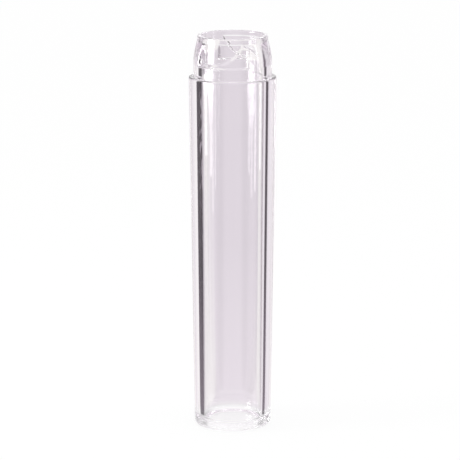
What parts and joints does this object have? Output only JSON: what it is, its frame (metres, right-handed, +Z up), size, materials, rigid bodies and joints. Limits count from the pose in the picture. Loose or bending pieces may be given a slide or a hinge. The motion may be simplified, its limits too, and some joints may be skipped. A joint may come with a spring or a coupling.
{
  "type": "manual rain gauge tube",
  "caption": "Clear thick-walled rain gauge measuring tube with a twist-lock neck, standing in a clear outer sleeve that it lifts out of.",
  "frame": {"origin": "on the axis, at the underside that the gauge stands on", "axes": "+Z up along the tube towards its mouth, -Y towards the front, where one twist-lock cam edge crosses the neck"},
  "size_m": [0.0328, 0.0328, 0.15],
  "materials": {
    "clear_sleeve": "clear, polished",
    "clear_tube": "clear, polished"
  },
  "bodies": {
    "sleeve": {"outer_sleeve": "clear_sleeve"},
    "tube": {"measuring_tube": "clear_tube"}
  },
  "joints": [
    {"name": "tube_lift", "type": "slide", "parent": "sleeve", "child": "tube", "axis": [0, 0, 1], "range_m": [0, 0.145]}
  ]
}
